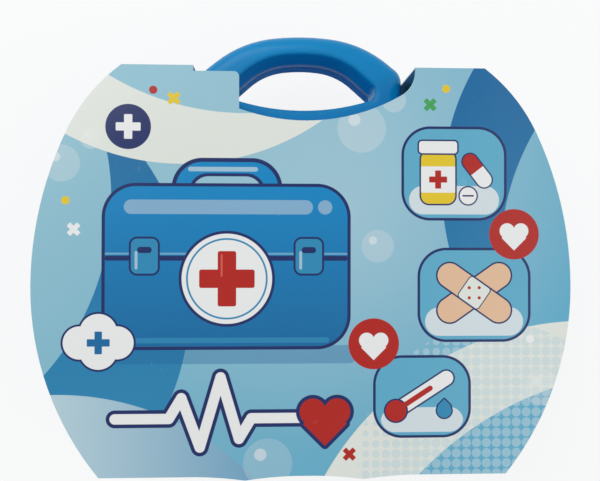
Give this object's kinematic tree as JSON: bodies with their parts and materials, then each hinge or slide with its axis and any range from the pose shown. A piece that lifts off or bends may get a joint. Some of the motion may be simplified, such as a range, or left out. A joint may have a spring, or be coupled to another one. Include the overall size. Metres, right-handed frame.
{
  "type": "toy doctor case",
  "caption": "Closed toy doctor case with a carrying handle, in a bulging printed card wrap, holding a tray of play instruments.",
  "frame": {"origin": "centre of the card wrap's back face, on which the closed case lies", "axes": "+X to the right seen from the front, +Y towards the carrying handle, +Z out of the front of the card"},
  "size_m": [0.265, 0.2268, 0.094],
  "materials": {
    "card_print": "gloss",
    "blue_shell": "gloss",
    "blue_latch": "gloss",
    "steel_pin": "satin",
    "white_tray": "satin",
    "red_dish": "gloss",
    "clear_barrel": "gloss",
    "white_plunger": "gloss",
    "yellow_body": "gloss",
    "display_window": "gloss",
    "white_case": "gloss",
    "blue_screen": "gloss",
    "red_button": "gloss",
    "green_button": "gloss",
    "blue_tool": "gloss",
    "white_tube": "gloss",
    "red_rubber": "matte",
    "red_plastic": "gloss",
    "white_rivet": "gloss",
    "picture_card": "gloss",
    "carton": "satin",
    "bag_film": "gloss",
    "paper_label": "matte",
    "yellow_tool": "gloss"
  },
  "bodies": {
    "base": {"card_back": "card_print", "base_shell": "blue_shell", "hinge_pin_left": "steel_pin", "hinge_pin_right": "steel_pin", "inner_tray": "white_tray", "side_dish_left": "red_dish", "side_dish_right": "red_dish", "syringe_barrel": "clear_barrel", "thermometer_body": "yellow_body", "thermometer_window": "display_window", "monitor_case": "white_case", "monitor_screen": "blue_screen", "stethoscope_yoke": "blue_tool", "chest_tube": "white_tube", "chest_piece": "red_plastic", "ear_tube_left": "white_tube", "ear_tube_right": "white_tube", "ear_tip_left": "red_rubber", "ear_tip_right": "red_rubber", "tweezers": "blue_tool", "scissors_lower": "blue_tool", "scissors_rivet": "white_rivet"},
    "lid": {"lid_shell": "blue_shell", "backdrop_card": "picture_card", "hook_rail": "red_plastic", "storage_shelf": "red_plastic", "medicine_box": "carton", "drip_bag": "bag_film", "drip_label": "paper_label", "clamp_fixed": "yellow_tool", "clamp_rivet": "white_rivet"},
    "card_bottom": {"card_bottom": "card_print"},
    "card_front": {"card_front": "card_print"},
    "card_top_left": {"card_top_left": "card_print"},
    "card_top_right": {"card_top_right": "card_print"},
    "latch_left": {"latch_left": "blue_latch"},
    "latch_right": {"latch_right": "blue_latch"},
    "plunger": {"syringe_plunger": "white_plunger"},
    "scissors_half": {"scissors_upper": "blue_tool"},
    "clamp_half": {"clamp_moving": "yellow_tool"},
    "button_left": {"monitor_button_left": "red_button"},
    "button_right": {"monitor_button_right": "green_button"}
  },
  "joints": [
    {"name": "lid_hinge", "type": "hinge", "parent": "base", "child": "lid", "pos_m": [0, -0.09885, 0.0519], "axis": [1, 0, 0], "range_deg": [0, 100]},
    {"name": "card_bottom_fold", "type": "hinge", "parent": "base", "child": "card_bottom", "pos_m": [0, -0.10035, 0], "axis": [1, 0, 0], "range_deg": [0, 90]},
    {"name": "card_front_fold", "type": "hinge", "parent": "card_bottom", "child": "card_front", "pos_m": [0, -0.10035, 0.094], "axis": [1, 0, 0], "range_deg": [0, 10]},
    {"name": "card_top_fold_left", "type": "hinge", "parent": "base", "child": "card_top_left", "pos_m": [0, 0.10035, 0], "axis": [-1, 0, 0], "range_deg": [0, 90]},
    {"name": "latch_turn_left", "type": "hinge", "parent": "base", "child": "latch_left", "pos_m": [0, 0.09735, 0.0389], "axis": [-1, 0, 0], "range_deg": [0, 100]},
    {"name": "card_top_fold_right", "type": "hinge", "parent": "base", "child": "card_top_right", "pos_m": [0, 0.10035, 0], "axis": [-1, 0, 0], "range_deg": [0, 90]},
    {"name": "latch_turn_right", "type": "hinge", "parent": "base", "child": "latch_right", "pos_m": [0, 0.09735, 0.0389], "axis": [-1, 0, 0], "range_deg": [0, 100]},
    {"name": "plunger_slide", "type": "slide", "parent": "base", "child": "plunger", "axis": [0, 1, 0], "range_m": [-0.012, 0.024]},
    {"name": "scissors_pivot", "type": "hinge", "parent": "base", "child": "scissors_half", "pos_m": [-0.09485, -0.0065, 0.0408], "axis": [0, 0, 1], "range_deg": [-18, 0]},
    {"name": "clamp_pivot", "type": "hinge", "parent": "lid", "child": "clamp_half", "pos_m": [0.0518, 0.01668, 0.0796], "axis": [0, 0, 1], "range_deg": [-18, 0]},
    {"name": "button_press_left", "type": "slide", "parent": "base", "child": "button_left", "axis": [0, 0, -1], "range_m": [0, 0.0015], "stiffness_N_per_m": 300, "springref_m": -0.0005},
    {"name": "button_press_right", "type": "slide", "parent": "base", "child": "button_right", "axis": [0, 0, -1], "range_m": [0, 0.0015], "stiffness_N_per_m": 300, "springref_m": -0.0005}
  ],
  "couplings": [
    {"joint": "card_bottom_fold", "follows": "lid_hinge", "ratio": 0.9},
    {"joint": "card_front_fold", "follows": "lid_hinge", "ratio": 0.1},
    {"joint": "card_top_fold_left", "follows": "lid_hinge", "ratio": 0.9},
    {"joint": "latch_turn_left", "follows": "lid_hinge", "ratio": 1},
    {"joint": "card_top_fold_right", "follows": "lid_hinge", "ratio": 0.9},
    {"joint": "latch_turn_right", "follows": "lid_hinge", "ratio": 1}
  ]
}
